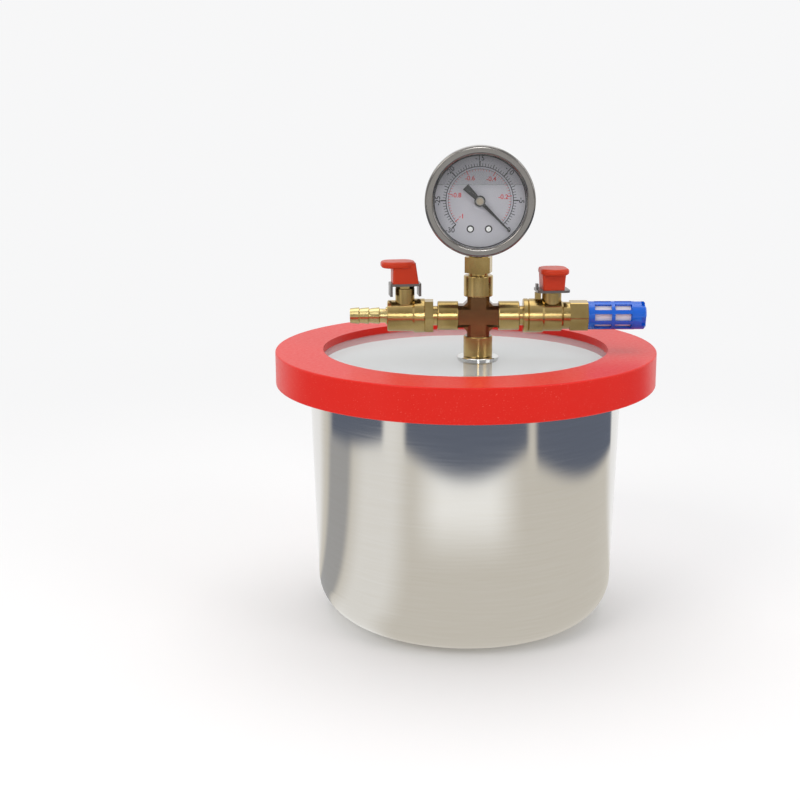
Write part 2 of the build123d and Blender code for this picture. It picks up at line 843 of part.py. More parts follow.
with BuildPart() as filter_body:
    with BuildSketch(Plane.YZ.offset(filter_x)):
        with Locations((column_y, cross_z)):
            Circle(filter_radius)
    extrude(amount=filter_body_length)
    with BuildSketch(Plane.YZ.offset(filter_x + filter_base)):
        with Locations((column_y, cross_z)):
            Circle(filter_radius - filter_wall)
    extrude(amount=filter_body_length, mode=Mode.SUBTRACT)
    for window_start in filter_window_starts:
        window_middle = filter_x + window_start + filter_window_length / 2
        with Locations(Location((window_middle, column_y, cross_z), (0, 90, 0))):
            with PolarLocations(filter_radius, filter_window_count):
                Box(2 * filter_wall + 1, filter_window_height, filter_window_length, mode=Mode.SUBTRACT)
    with BuildSketch(Plane.YZ.offset(filter_x - filter_nipple_length)):
        with Locations((column_y, cross_z)):
            Circle(pipe_thread_radius)
    extrude(amount=filter_nipple_length)
    with BuildSketch(Plane.YZ.offset(filter_x - filter_nipple_length)):
        with Locations((column_y, cross_z)):
            Circle(pipe_bore_radius)
    extrude(amount=filter_nipple_length + filter_base, mode=Mode.SUBTRACT)
filter_body.part.label = "filter_body"

with BuildPart() as filter_element:
    with BuildSketch(Plane.YZ.offset(filter_x + filter_base)):
        with Locations((column_y, cross_z)):
            Circle(element_radius)
            Circle(element_bore_radius, mode=Mode.SUBTRACT)
    extrude(amount=filter_body_length - filter_base - filter_cap_spigot)
filter_element.part.label = "filter_element"

with BuildPart() as filter_cap:
    with BuildSketch(Plane.YZ.offset(filter_x + filter_body_length)):
        with Locations((column_y, cross_z)):
            Circle(filter_cap_radius)
    extrude(amount=filter_cap_length)
    chamfer(filter_cap.faces().sort_by(Axis.X)[-1].edges(), length=filter_cap_round)
    with BuildSketch(Plane.YZ.offset(filter_x + filter_body_length - filter_cap_spigot)):
        with Locations((column_y, cross_z)):
            Circle(filter_radius - filter_wall)
    extrude(amount=filter_cap_spigot)
    notch_middle = filter_x + filter_body_length + filter_cap_length - filter_cap_notch_depth / 2
    with Locations(Location((notch_middle, column_y, cross_z), (0, 90, 0))):
        with PolarLocations(filter_cap_radius, filter_cap_notch_count, start_angle=20):
            Box(
                2 * filter_cap_notch_radial,
                filter_cap_notch_width,
                filter_cap_notch_depth,
                mode=Mode.SUBTRACT,
            )
filter_cap.part.label = "filter_cap"

# ================= dial gauge =================


def face_plane(y_position):
    return Plane((gauge_x, y_position, gauge_z), x_dir=(1, 0, 0), z_dir=(0, -1, 0))


with BuildPart() as gauge_case:
    with BuildSketch(face_plane(gauge_back_y)):
        Circle(case_radius)
    extrude(amount=gauge_back_y - case_front_y)
    fillet(gauge_case.faces().sort_by(Axis.Y)[-1].edges(), radius=case_back_round)
    with BuildSketch(face_plane(gauge_back_y - case_wall)):
        Circle(case_radius - case_wall)
    extrude(amount=gauge_depth, mode=Mode.SUBTRACT)
    with BuildSketch(Plane.XY.offset(gauge_z - case_radius - 2)):
        with Locations((column_x, column_y)):
            Circle(case_hole_radius)
    extrude(amount=case_radius / 2, mode=Mode.SUBTRACT)
    with BuildSketch(face_plane(gauge_back_y + 1)):
        with Locations((0, plug_height)):
            Circle(plug_radius - 1)
    extrude(amount=case_wall + 2, mode=Mode.SUBTRACT)
gauge_case.part.label = "gauge_case"

with BuildPart() as gauge_bezel:
    with BuildSketch(face_plane(gauge_front_y + bezel_depth)):
        Circle(bezel_radius)
        Circle(bezel_opening_radius, mode=Mode.SUBTRACT)
    extrude(amount=bezel_depth)
    front_rings = gauge_bezel.faces().sort_by(Axis.Y)[0].edges()
    fillet(front_rings, radius=bezel_round)
    with BuildSketch(face_plane(gauge_front_y + bezel_depth)):
        Circle(case_radius + thread_clearance)
    extrude(amount=bezel_depth - bezel_lip, mode=Mode.SUBTRACT)
gauge_bezel.part.label = "gauge_bezel"

with BuildPart() as gauge_lens:
    with BuildSketch(face_plane(lens_front_y + lens_thickness)):
        Circle(lens_radius)
    extrude(amount=lens_thickness)
gauge_lens.part.label = "gauge_lens"

with BuildPart() as lens_seal:
    with BuildSketch(face_plane(case_front_y)):
        Circle(lens_radius)
        Circle(lens_seal_inner_radius, mode=Mode.SUBTRACT)
    extrude(amount=case_front_y - lens_front_y - lens_thickness)
lens_seal.part.label = "lens_seal"

with BuildPart() as gauge_dial:
    with BuildSketch(face_plane(dial_y + dial_thickness)):
        Circle(dial_radius)
        Circle(dial_hole_radius, mode=Mode.SUBTRACT)
        with Locations((-dial_screw_x, dial_screw_z), (dial_screw_x, dial_screw_z)):
            Circle(dial_screw_radius / 2 + thread_clearance, mode=Mode.SUBTRACT)
    extrude(amount=dial_thickness)
gauge_dial.part.label = "gauge_dial"

with BuildPart() as dial_screws:
    with BuildSketch(face_plane(dial_y)):
        with Locations((-dial_screw_x, dial_screw_z), (dial_screw_x, dial_screw_z)):
            Circle(dial_screw_radius)
    extrude(amount=dial_screw_head)
    with BuildSketch(face_plane(dial_y + dial_screw_length)):
        with Locations((-dial_screw_x, dial_screw_z), (dial_screw_x, dial_screw_z)):
            Circle(dial_screw_radius / 2)
    extrude(amount=dial_screw_length)
    with BuildSketch(face_plane(dial_y - dial_screw_head / 2)):
        with Locations((-dial_screw_x, dial_screw_z), (dial_screw_x, dial_screw_z)):
            Rectangle(3 * dial_screw_radius, dial_screw_slot, rotation=30)
    extrude(amount=dial_screw_head, mode=Mode.SUBTRACT)
dial_screws.part.label = "dial_screws"

with BuildPart() as gauge_pointer:
    with BuildSketch(face_plane(pointer_y)):
        Polygon(
            (-pointer_tail, pointer_tail_width / 2),
            (0, pointer_root_width / 2),
            (pointer_length, pointer_tip_width / 2),
            (pointer_length, -pointer_tip_width / 2),
            (0, -pointer_root_width / 2),
            (-pointer_tail, -pointer_tail_width / 2),
            rotation=pointer_rest_angle,
            align=None,
        )
        Circle(pointer_hub_radius)
    extrude(amount=pointer_thickness)
    with BuildSketch(face_plane(pointer_y - pointer_thickness)):
        Circle(pointer_hub_radius - 0.8)
    extrude(amount=pointer_hub_height - pointer_thickness)
    with BuildSketch(face_plane(arbor_end_y)):
        Circle(arbor_radius)
    extrude(amount=arbor_end_y - pointer_y)
    with BuildSketch(face_plane(gear_y + gear_face)):
        Circle(pinion_pitch_radius - tooth_depth_in)
        with PolarLocations(pinion_pitch_radius, pinion_teeth):
            Trapezoid(tooth_base, tooth_height, tooth_flank, rotation=-90)
        Circle(pinion_pitch_radius + tooth_depth_out, mode=Mode.INTERSECT)
    extrude(amount=gear_face)
gauge_pointer.part.label = "gauge_pointer"

sector_plane = Plane((gauge_x, gear_y + gear_face, gauge_z - gear_centres), x_dir=(1, 0, 0), z_dir=(0, -1, 0))
tooth_pitch_angle = 360 / sector_teeth_full
sector_half_angle = tooth_pitch_angle * sector_teeth_cut / 2

with BuildPart() as sector_gear:
    with BuildSketch(sector_plane):
        reach = 2 * sector_pitch_radius
        spread = reach * math.tan(math.radians(sector_half_angle))
        Polygon((0, 0), (reach, -spread), (reach, spread), rotation=90 + sector_mid_turn, align=None)
        Circle(sector_pitch_radius - tooth_depth_in, mode=Mode.INTERSECT)
        first_tooth = 90 + sector_mid_turn - sector_half_angle + tooth_pitch_angle / 2
        with PolarLocations(
            sector_pitch_radius,
            sector_teeth_cut,
            start_angle=first_tooth,
            angular_range=2 * sector_half_angle,
        ):
            Trapezoid(tooth_base, tooth_height, tooth_flank, rotation=-90)
        Circle(sector_pitch_radius + tooth_depth_out, mode=Mode.INTERSECT)
        Circle(sector_hub_radius)
        with PolarLocations(sector_tail / 2, 1, start_angle=sector_mid_turn - 90):
            Rectangle(sector_tail + 2 * link_eye_radius, 2 * link_eye_radius)
        Circle(pivot_radius + running_clearance, mode=Mode.SUBTRACT)
    extrude(amount=sector_thickness)
sector_gear.part.label = "sector_gear"

with BuildPart() as movement_frame:
    for plate_y in (movement_front_y + movement_plate_thickness, movement_back_y + movement_plate_thickness):
        with BuildSketch(face_plane(plate_y)):
            with Locations((0, (movement_top + movement_bottom) / 2)):
                Rectangle(movement_width, movement_top - movement_bottom)
            Circle(arbor_radius + running_clearance, mode=Mode.SUBTRACT)
        extrude(amount=movement_plate_thickness)
    post_x = movement_width / 2 - movement_post_radius - 0.5
    with BuildSketch(face_plane(movement_back_y)):
        with Locations((post_x, movement_top - 2.5), (-post_x, movement_top - 2.5)):
            Circle(movement_post_radius)
    extrude(amount=movement_back_y - movement_front_y - movement_plate_thickness)
    with BuildSketch(face_plane(movement_back_y)):
        with Locations((0, -gear_centres)):
            Circle(pivot_radius)
    extrude(amount=movement_back_y - gear_y - gear_face + sector_thickness + 0.2)
movement_frame.part.label = "movement_frame"

with BuildPart() as gauge_socket:
    with BuildSketch(Plane.XY.offset(cross_z + cross_arm - socket_depth + 1.5)):
        with Locations((column_x, column_y)):
            Circle(pipe_thread_radius)
    extrude(amount=socket_hex_bottom - cross_z - cross_arm + socket_depth - 1.5)
    with BuildSketch(Plane.XY.offset(socket_hex_bottom)):
        with Locations((column_x, column_y)):
            RegularPolygon(socket_hex_across_flats / 2, 6, major_radius=False, rotation=18)
    extrude(amount=socket_hex_height)
    with BuildSketch(Plane.XY.offset(socket_hex_bottom + socket_hex_height)):
        with Locations((column_x, column_y)):
            Circle(socket_neck_radius)
    extrude(amount=gauge_z - case_radius + 4 - socket_hex_bottom - socket_hex_height)
    with BuildSketch(Plane.XY.offset(gauge_z - case_radius + 3)):
        with Locations((column_x, column_y)):
            Rectangle(socket_block_width, socket_block_depth)
    extrude(amount=socket_block_top + case_radius - 3)
    with BuildSketch(Plane.XY.offset(cross_z)):
        with Locations((column_x, column_y)):
            Circle(pipe_bore_radius / 2)
    extrude(amount=gauge_z - case_radius + 6 - cross_z, mode=Mode.SUBTRACT)
gauge_socket.part.label = "gauge_socket"

with BuildPart() as bourdon_tube:
    tube_axis = Axis((gauge_x, tube_plane_y, gauge_z), (0, -1, 0))
    start_radians = math.radians(tube_start_angle)
    radial = (math.cos(start_radians), 0, math.sin(start_radians))
    tube_origin = (
        gauge_x + tube_radius * math.cos(start_radians),
        tube_plane_y,
        gauge_z + tube_radius * math.sin(start_radians),
    )
    tube_normal = (-math.sin(start_radians), 0, math.cos(start_radians))
    with BuildSketch(Plane(tube_origin, x_dir=radial, z_dir=tube_normal)):
        Ellipse(tube_section_height / 2, tube_section_width / 2)
        Ellipse(tube_section_height / 2 - tube_wall, tube_section_width / 2 - tube_wall, mode=Mode.SUBTRACT)
    revolve(axis=tube_axis, revolution_arc=tube_sweep)
bourdon_tube.part.label = "bourdon_tube"

tip_radians = math.radians(tube_start_angle + tube_sweep - 6)
tip_x = (tube_radius - tube_section_height) * math.cos(tip_radians)
tip_z = (tube_radius - tube_section_height) * math.sin(tip_radians)
tail_radians = math.radians(sector_mid_turn - 90)
tail_x = sector_tail * math.cos(tail_radians)
tail_z = sector_tail * math.sin(tail_radians) - gear_centres
link_span = math.hypot(tip_x - tail_x, tip_z - tail_z)
link_turn = math.degrees(math.atan2(tip_z - tail_z, tip_x - tail_x))

with BuildPart() as gauge_link:
    with BuildSketch(face_plane(gear_y - link_clearance + gear_face - sector_thickness)):
        with Locations(Location((tail_x, tail_z, 0), (0, 0, link_turn))):
            with Locations((link_span / 2, 0)):
                SlotCenterToCenter(link_span, link_width)
    extrude(amount=link_thickness)
gauge_link.part.label = "gauge_link"

with BuildPart() as fill_plug:
    with BuildSketch(face_plane(gauge_back_y + plug_head)):
        with Locations((0, plug_height)):
            Circle(plug_radius)
    extrude(amount=plug_head)
    with BuildSketch(face_plane(gauge_back_y)):
        with Locations((0, plug_height)):
            Circle(plug_radius - 1)
    extrude(amount=2 * plug_head)
fill_plug.part.label = "fill_plug"

# ================= files =================

finished = (
    pot, lid_rim, lid, stud, stud_seal, stud_washer, cross,
    left_inlet, left_body, left_seats, left_packing, left_gland, left_barb,
    left_ball, left_stem, left_plate, left_nut, left_cap,
    right_inlet, right_body, right_seats, right_packing, right_gland,
    right_ball, right_stem, right_plate, right_nut, right_cap,
    filter_body, filter_element, filter_cap,
    gauge_socket, gauge_case, gauge_bezel, gauge_lens, lens_seal, gauge_dial,
    dial_screws, gauge_pointer, sector_gear, movement_frame, bourdon_tube, gauge_link, fill_plug,
)
for piece in finished:
    export_step(piece.part, "parts/" + piece.part.label + ".step")
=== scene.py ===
import json
import math
import bpy
from mathutils import Matrix, Vector


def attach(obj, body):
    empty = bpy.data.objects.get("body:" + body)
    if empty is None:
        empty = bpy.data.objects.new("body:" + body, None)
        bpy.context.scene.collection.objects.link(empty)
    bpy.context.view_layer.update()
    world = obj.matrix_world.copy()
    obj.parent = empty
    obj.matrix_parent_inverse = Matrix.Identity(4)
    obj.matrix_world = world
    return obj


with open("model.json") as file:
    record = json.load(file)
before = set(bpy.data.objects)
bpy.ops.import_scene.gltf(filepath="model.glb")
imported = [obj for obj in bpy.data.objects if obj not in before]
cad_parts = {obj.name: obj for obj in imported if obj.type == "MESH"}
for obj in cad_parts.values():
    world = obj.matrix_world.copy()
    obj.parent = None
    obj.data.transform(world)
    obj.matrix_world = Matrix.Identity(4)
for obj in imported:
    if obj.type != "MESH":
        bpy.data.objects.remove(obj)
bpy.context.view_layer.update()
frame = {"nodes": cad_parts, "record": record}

# Lengths of the dial are in millimetres and turned into metres by MM.
# Lengths of the stage, the lights and the materials are in metres.
MM = 0.001
GAUGE_X, GAUGE_Z = 8.0, 272.0
DIAL_Y = -23.0

scene = bpy.context.scene
scene.view_settings.view_transform = "Standard"


# ---------------- shader node helpers ----------------

def connect(nt, value, socket):
    """Link a node output to a socket, or set the socket to a number or a colour."""
    if isinstance(value, (int, float)):
        socket.default_value = value
    elif isinstance(value, tuple):
        socket.default_value = (*value, 1)
    else:
        nt.links.new(value, socket)


def math_node(nt, kind, a, b=0.0):
    n = nt.nodes.new("ShaderNodeMath")
    n.operation = kind
    connect(nt, a, n.inputs[0])
    connect(nt, b, n.inputs[1])
    return n.outputs[0]


def map_range(nt, value, low, high, to_low=0.0, to_high=1.0, smooth=False):
    n = nt.nodes.new("ShaderNodeMapRange")
    if smooth:
        n.interpolation_type = "SMOOTHSTEP"
    n.inputs["From Min"].default_value = low
    n.inputs["From Max"].default_value = high
    n.inputs["To Min"].default_value = to_low
    n.inputs["To Max"].default_value = to_high
    connect(nt, value, n.inputs["Value"])
    return n.outputs["Result"]


def mix_color(nt, fac, a, b):
    n = nt.nodes.new("ShaderNodeMix")
    n.data_type = "RGBA"
    factor, first, second = n.inputs[0], n.inputs[6], n.inputs[7]
    connect(nt, fac, factor)
    connect(nt, a, first)
    connect(nt, b, second)
    return n.outputs[2]


def mix_shader(nt, fac, a, b):
    n = nt.nodes.new("ShaderNodeMixShader")
    connect(nt, fac, n.inputs["Fac"])
    connect(nt, a, n.inputs[1])
    connect(nt, b, n.inputs[2])
    return n.outputs["Shader"]


def glow(nt, node_type, color):
    """An emission or background of strength 1, which shows its colour as written."""
    n = nt.nodes.new(node_type)
    connect(nt, color, n.inputs["Color"])
    return n.outputs[0]


def seen_directly(nt, path):
    """1 for camera rays and for rays that passed through glass."""
    return math_node(nt, "MAXIMUM", path.outputs["Is Camera Ray"], path.outputs["Is Transmission Ray"])


# ---------------- materials ----------------

def material(name, color, metallic=0.0, roughness=0.5, transmission=0.0, ior=1.45, spec=0.5):
    m = bpy.data.materials.new(name)
    m.use_nodes = True
    b = m.node_tree.nodes["Principled BSDF"]
    b.inputs["Base Color"].default_value = (*color, 1)
    b.inputs["Metallic"].default_value = metallic
    b.inputs["Roughness"].default_value = roughness
    b.inputs["Transmission Weight"].default_value = transmission
    b.inputs["IOR"].default_value = ior
    b.inputs["Specular IOR Level"].default_value = spec
    return m, b


def object_coords(m, scale=(1, 1, 1)):
    nt = m.node_tree
    coord = nt.nodes.new("ShaderNodeTexCoord")
    mapping = nt.nodes.new("ShaderNodeMapping")
    mapping.inputs["Scale"].default_value = scale
    nt.links.new(coord.outputs["Object"], mapping.inputs["Vector"])
    return mapping.outputs["Vector"]


def noise(m, scale, detail=3.0, stretch=(1, 1, 1)):
    nt = m.node_tree
    n = nt.nodes.new("ShaderNodeTexNoise")
    n.inputs["Scale"].default_value = scale
    n.inputs["Detail"].default_value = detail
    nt.links.new(object_coords(m, stretch), n.inputs["Vector"])
    return n.outputs["Fac"]


def vary(m, b, socket, fac, low, high, start=0.3, end=0.7):
    nt = m.node_tree
    nt.links.new(map_range(nt, fac, start, end, low, high), b.inputs[socket])


def tint(m, b, fac, dark, light, start=0.3, end=0.7):
    nt = m.node_tree
    r = nt.nodes.new("ShaderNodeValToRGB")
    r.color_ramp.elements[0].position = start
    r.color_ramp.elements[0].color = (*dark, 1)
    r.color_ramp.elements[1].position = end
    r.color_ramp.elements[1].color = (*light, 1)
    nt.links.new(fac, r.inputs["Fac"])
    nt.links.new(r.outputs["Color"], b.inputs["Base Color"])


def bump(m, b, fac, strength, distance):
    nt = m.node_tree
    n = nt.nodes.new("ShaderNodeBump")
    n.inputs["Strength"].default_value = strength
    n.inputs["Distance"].default_value = distance
    nt.links.new(fac, n.inputs["Height"])
    nt.links.new(n.outputs["Normal"], b.inputs["Normal"])


def pot_steel():
    """Polished sheet with faint brushing round the pot and slow waves in its wall."""
    m, b = material("pot_steel", (0.78, 0.76, 0.73), 1.0, 0.08)
    brushing = noise(m, 30.0, 4.0, (1, 1, 26))
    vary(m, b, "Roughness", brushing, 0.07, 0.10)
    tint(m, b, brushing, (0.77, 0.75, 0.715), (0.79, 0.775, 0.75))
    bump(m, b, noise(m, 9.0, 1.0, (1, 1, 0.4)), 0.12, 0.0004)
    return m


def silicone():
    """Red rubber with small pale specks."""
    red = (0.72, 0.014, 0.006)
    m, b = material("red_silicone", red, 0.0, 0.34, spec=0.28)
    tint(m, b, noise(m, 1500.0, 1.0), red, (0.84, 0.16, 0.12), 0.68, 0.80)
    vary(m, b, "Roughness", noise(m, 420.0, 2.0), 0.30, 0.38)
    return m


def brass(name, dark, light, rough):
    m, b = material(name, light, 1.0, rough)
    tint(m, b, noise(m, 60.0, 3.0), dark, light, 0.35, 0.65)
    vary(m, b, "Roughness", noise(m, 500.0, 2.0), rough * 0.9, rough * 1.1)
    bump(m, b, noise(m, 1100.0, 2.0), 0.02, 0.0001)
    return m


def darker_middle(m, color, centre, half, edge=0.0003):
    """Darker tone within half of the centre along X and Z."""
    nt = m.node_tree
    b = nt.nodes["Principled BSDF"]
    offset = nt.nodes.new("ShaderNodeVectorMath")
    offset.operation = "SUBTRACT"
    offset.inputs[1].default_value = centre
    nt.links.new(object_coords(m), offset.inputs[0])
    split = nt.nodes.new("ShaderNodeSeparateXYZ")
    nt.links.new(offset.outputs["Vector"], split.inputs["Vector"])
    across = math_node(nt, "ABSOLUTE", split.outputs["X"])
    up = math_node(nt, "ABSOLUTE", split.outputs["Z"])
    inside = map_range(nt, math_node(nt, "MAXIMUM", across, up), half, half + edge, 1.0, 0.0)
    cast_color = b.inputs["Base Color"].links[0].from_socket
    nt.links.new(mix_color(nt, inside, cast_color, color), b.inputs["Base Color"])


def plain(name, color, metallic, roughness, **more):
    """One colour, with the roughness varied a little by fine noise."""
    m, b = material(name, color, metallic, roughness, **more)
    vary(m, b, "Roughness", noise(m, 300.0), roughness * 0.85, roughness * 1.15)
    return m


def see_through(name, color, alpha):
    m, b = material(name, color, 0.0, 0.3)
    b.inputs["Alpha"].default_value = alpha
    return m


MATERIALS = {
    "pot_steel": pot_steel(),
    "red_silicone": silicone(),
    "clear_acrylic": plain("clear_acrylic", (0.92, 0.945, 0.955), 0.0, 0.02, transmission=0.7, ior=1.49),
    "brass": brass("brass", (0.43, 0.30, 0.11), (0.56, 0.41, 0.17), 0.22),
    "pale_brass": brass("pale_brass", (0.62, 0.50, 0.22), (0.70, 0.58, 0.29), 0.25),
    "black_rubber": plain("black_rubber", (0.015, 0.015, 0.016), 0.0, 0.6),
    "polished_steel": plain("polished_steel", (0.72, 0.72, 0.71), 1.0, 0.12),
    "plated_steel": plain("plated_steel", (0.22, 0.21, 0.20), 1.0, 0.34),
    "white_ptfe": plain("white_ptfe", (0.85, 0.85, 0.83), 0.0, 0.5),
    "red_plastic": plain("red_plastic", (0.55, 0.040, 0.010), 0.0, 0.34, spec=0.3),
    "blue_plastic": plain(
        "blue_plastic", (0.004, 0.14, 0.76), 0.0, 0.16, transmission=0.2, ior=1.49, spec=0.7
    ),
    "filter_felt": plain("filter_felt", (0.74, 0.68, 0.72), 0.0, 0.9),
    "gauge_steel": plain("gauge_steel", (0.25, 0.237, 0.225), 1.0, 0.14),
    "clear_glass": plain("clear_glass", (0.98, 0.985, 0.985), 0.0, 0.01, transmission=1.0, ior=1.3),
    "dial_face": plain("dial_face", (0.43, 0.43, 0.47), 0.2, 0.5),
    "black_paint": plain("black_paint", (0.012, 0.012, 0.013), 0.0, 0.4),
}
BLACK = MATERIALS["black_paint"]
RED_INK, _ = material("red_ink", (0.55, 0.02, 0.02), 0.0, 0.5)
HUB_METAL = plain("hub_metal", (0.30, 0.26, 0.20), 1.0, 0.3)

CROSS_CENTRE = (0.008, -0.012, 0.1987)
CROSS_DARK_HALF = 0.0126
darker_middle(MATERIALS["brass"], (0.20, 0.105, 0.045), CROSS_CENTRE, CROSS_DARK_HALF)

slots = {s["node"]: s["material_slot"] for s in frame["record"]["subparts"]}
for node, obj in frame["nodes"].items():
    obj.data.materials.clear()
    obj.data.materials.append(MATERIALS[slots[node]])

# Light reaches what lies behind the clear lid and the gauge's lens.
for node in ("lid", "gauge_lens"):
    frame["nodes"][node].visible_shadow = False


# ---------------- helpers for added pieces ----------------

def dial_place(x, z, y):
    """A point at x and z from the middle of the dial, in metres."""
    return ((GAUGE_X + x) * MM, y * MM, (GAUGE_Z + z) * MM)


def mesh_piece(name, verts, faces, mat, body="chamber"):
    me = bpy.data.meshes.new(name)
    me.from_pydata(verts, [], faces)
    me.update()
    ob = bpy.data.objects.new(name, me)
    scene.collection.objects.link(ob)
    me.materials.append(mat)
    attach(ob, body)


def tick_set(name, angles, r0, r1, width, mat):
    verts, faces = [], []
    for degrees in angles:
        c = math.cos(math.radians(degrees))
        s = math.sin(math.radians(degrees))
        first = len(verts)
        for r, side in ((r0, -width / 2), (r1, -width / 2), (r1, width / 2), (r0, width / 2)):
            verts.append(dial_place(r * c - side * s, r * s + side * c, INK_Y))
        faces.append(tuple(range(first, first + 4)))
    mesh_piece(name, verts, faces, mat)


def arc_strip(name, r0, r1, start, end, y, mat, steps=96, centre=(0, 0), body="chamber"):
    verts, faces = [], []
    for i in range(steps + 1):
        a = math.radians(start + (end - start) * i / steps)
        for r in (r0, r1):
            verts.append(dial_place(centre[0] + r * math.cos(a), centre[1] + r * math.sin(a), y))
    for i in range(steps):
        faces.append((2 * i, 2 * i + 1, 2 * i + 3, 2 * i + 2))
    mesh_piece(name, verts, faces, mat, body)


def small_ring(name, centre, r0, r1, y, mat, body="chamber"):
    arc_strip(name, r0, r1, 0, 360, y, mat, 32, centre, body)


def text_piece(name, body, x, z, size, mat, turn=0.0):
    cu = bpy.data.curves.new(name, "FONT")
    cu.body = body
    cu.size = size * MM
    cu.align_x = "CENTER"
    cu.align_y = "CENTER"
    cu.offset = TEXT_BOLDNESS
    cu.materials.append(mat)
    ob = bpy.data.objects.new(name, cu)
    scene.collection.objects.link(ob)
    upright = Matrix.Rotation(math.radians(90), 4, "X")
    turned = Matrix.Rotation(math.radians(turn), 4, "Z")
    ob.matrix_world = Matrix.Translation(dial_place(x, z, INK_Y)) @ upright @ turned
    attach(ob, "chamber")


# ---------------- dial markings ----------------

INK_Y = DIAL_Y - 0.06
TEXT_BOLDNESS = 0.00006
SCALE_START, SCALE_SWEEP = -45, 270
SCALE_END = SCALE_START + SCALE_SWEEP
OUTER_STEP = 45
OUTER_TICKS_PER_STEP = 10
OUTER_LABELS = ("0", "-5", "-10", "-15", "-20", "-25", "-30")
OUTER_TICK_START = 20.6
OUTER_LABEL_RADIUS = 25.6
INNER_FULL_SCALE = 1.016
INNER_LABELS = ("-0.2", "-0.4", "-0.6", "-0.8", "-1")
INNER_LABEL_X_RADIUS, INNER_LABEL_Z_RADIUS = 14.6, 14.8

outer_major = [SCALE_START + OUTER_STEP * i for i in range(len(OUTER_LABELS))]
outer_half = [angle + OUTER_STEP / 2 for angle in outer_major[:-1]]
small_step = OUTER_STEP / OUTER_TICKS_PER_STEP
outer_count = OUTER_TICKS_PER_STEP * (len(OUTER_LABELS) - 1)
outer_minor = [SCALE_START + small_step * i for i in range(outer_count + 1) if i % OUTER_TICKS_PER_STEP]
inner_major = [SCALE_START + SCALE_SWEEP * 0.2 * i / INNER_FULL_SCALE for i in range(6)]
inner_minor = [SCALE_START + SCALE_SWEEP * 0.02 * i / INNER_FULL_SCALE for i in range(51) if i % 10]

arc_strip("dial_arc", 20.4, 20.9, SCALE_START, SCALE_END, INK_Y, BLACK)
tick_set("dial_ticks_major", outer_major, OUTER_TICK_START, 24.0, 0.75, BLACK)
tick_set("dial_ticks_half", outer_half, OUTER_TICK_START, 23.4, 0.45, BLACK)
arc_strip("dial_arc_inner", 19.1, 19.35, SCALE_START, SCALE_END, INK_Y, BLACK)
tick_set("dial_ticks_minor", outer_minor, OUTER_TICK_START, 22.6, 0.36, BLACK)
tick_set("dial_ticks_inner", inner_major, 17.0, 19.9, 0.50, RED_INK)
tick_set("dial_ticks_inner_minor", inner_minor, 18.0, 19.3, 0.30, RED_INK)

for i, (angle, label) in enumerate(zip(outer_major, OUTER_LABELS)):
    a = math.radians(angle)
    at_an_end = i in (0, len(OUTER_LABELS) - 1)
    x, z = OUTER_LABEL_RADIUS * math.cos(a), OUTER_LABEL_RADIUS * math.sin(a)
    text_piece("dial_number_%d" % i, label, x, z, 4.4, BLACK, 0 if at_an_end else angle - 90)
for i, (angle, label) in enumerate(zip(inner_major[1:], INNER_LABELS)):
    a = math.radians(angle)
    x, z = INNER_LABEL_X_RADIUS * math.cos(a), INNER_LABEL_Z_RADIUS * math.sin(a)
    text_piece("dial_inner_%d" % i, label, x, z, 4.0, RED_INK)


# ---------------- dial screws' shadow rings and the pointer's cap ----------------

SCREW_X, SCREW_Z = 5.6, -17.4
CAP_RADIUS, CAP_RIM_RADIUS = 2.05, 2.6

small_ring("screw_ring_left", (-SCREW_X, SCREW_Z), 1.5, 2.35, INK_Y, BLACK)
small_ring("screw_ring_right", (SCREW_X, SCREW_Z), 1.5, 2.35, INK_Y, BLACK)
pointer = frame["nodes"]["gauge_pointer"]
pointer_front = min((pointer.matrix_world @ Vector(v)).y for v in pointer.bound_box) / MM
small_ring("pointer_cap_rim", (0, 0), CAP_RADIUS, CAP_RIM_RADIUS, pointer_front - 0.05,
           MATERIALS["plated_steel"], "pointer")
small_ring("pointer_cap", (0, 0), 0.0, CAP_RADIUS, pointer_front - 0.08, HUB_METAL, "pointer")


# ---------------- liquid level behind the lens ----------------

AIR_Y = -30.2
LEVEL = 10.2
OPENING = 28.3
LINE_HALF = 0.2
ARC_HALF_STEPS = 24

air = see_through("gauge_air", (0.10, 0.10, 0.11), 0.32)
level_mark = see_through("gauge_level", (0.16, 0.17, 0.17), 0.55)
half_angle = math.acos(LEVEL / OPENING)
air_edge = []
for step in range(-ARC_HALF_STEPS, ARC_HALF_STEPS + 1):
    a = half_angle * step / ARC_HALF_STEPS
    air_edge.append(dial_place(OPENING * math.sin(a), OPENING * math.cos(a), AIR_Y))
mesh_piece("gauge_air_space", air_edge, [tuple(range(len(air_edge)))], air)
# A black ring round the edge of the opening: painted shade at the rim of the bezel.
arc_strip("gauge_rim_painted_shade", 27.6, OPENING, 0, 360, AIR_Y - 0.08, BLACK)
half_width = math.sqrt(OPENING ** 2 - LEVEL ** 2)
line_corners = []
for x_side, z_side in ((-1, -1), (1, -1), (1, 1), (-1, 1)):
    line_corners.append(dial_place(x_side * half_width, LEVEL + z_side * LINE_HALF, AIR_Y - 0.05))
mesh_piece("gauge_level_line", line_corners, [(0, 1, 2, 3)], level_mark)


# ---------------- floor ----------------

BACKDROP = (0.93, 0.93, 0.935)
# Colours of the painted reflection that the floor shows to glossy rays.
ROOM_WARM = (0.66, 0.63, 0.57)
ROOM_BRIGHT = (1.0, 1.0, 0.98)
ROOM_PALE = (0.84, 0.83, 0.80)
ROOM_GREY = (0.40, 0.40, 0.40)
ROOM_REAR = (0.92, 0.92, 0.92)
ROOM_DARK = (0.13, 0.15, 0.20)

# Dark shapes painted into the floor's reflection for glossy rays: bearing of the middle and half width
# in radians, nearest reach in metres, and how fast the near edge bends away to the sides.
DARK_SHAPES = (
    (0.0, 0.74, 0.39, 0.14),
    (1.52, 0.72, 0.37, 0.12),
    (-1.44, 0.46, 0.46, 0.10),
)


def rising(nt, value, low, high):
    return map_range(nt, value, low, high, smooth=True)


